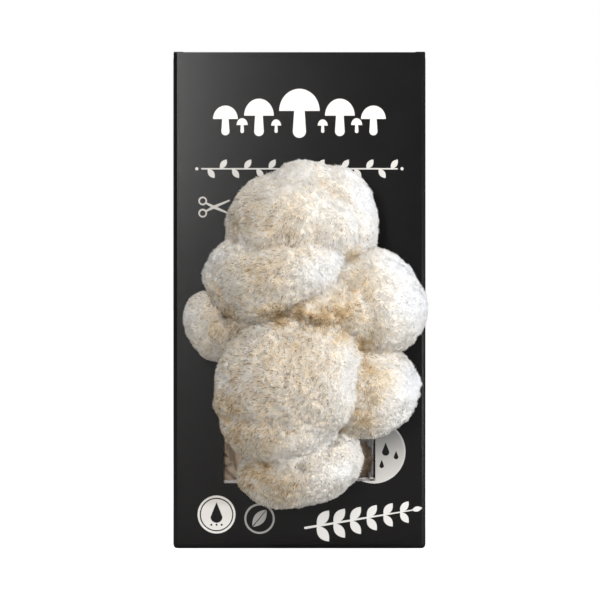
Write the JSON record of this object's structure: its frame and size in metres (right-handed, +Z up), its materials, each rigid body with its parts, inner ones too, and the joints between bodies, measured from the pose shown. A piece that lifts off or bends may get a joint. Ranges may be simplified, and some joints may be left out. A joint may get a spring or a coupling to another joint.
{
  "type": "lion's mane mushroom grow kit",
  "caption": "Tall black folded carton with a torn-open front window, a film bag of sawdust substrate inside, and a lobed, bristly white mushroom grown out of it.",
  "frame": {"origin": "centre of the carton's underside, on the surface it stands on", "axes": "+Z up, -Y out of the front with the window and the mushroom, +X to the right as seen from the front"},
  "size_m": [0.129, 0.2063, 0.252],
  "materials": {
    "printed_board": "black printed board with a satin coating, brown inside",
    "clear_film": "thin clear wrinkled film",
    "substrate": "pressed sawdust grown through with white threads",
    "mushroom": "matt, soft, dense short spines, cream to white with tan in the hollows"
  },
  "bodies": {
    "kit": {"carton": "printed_board", "grow_bag": "clear_film", "substrate_block": "substrate", "lions_mane": "mushroom"},
    "lid": {"carton_lid": "printed_board"}
  },
  "joints": [
    {"name": "lid_fold", "type": "hinge", "parent": "kit", "child": "lid", "pos_m": [0, 0.06175, 0.25125], "axis": [-1, 0, 0], "range_deg": [0, 180]}
  ]
}
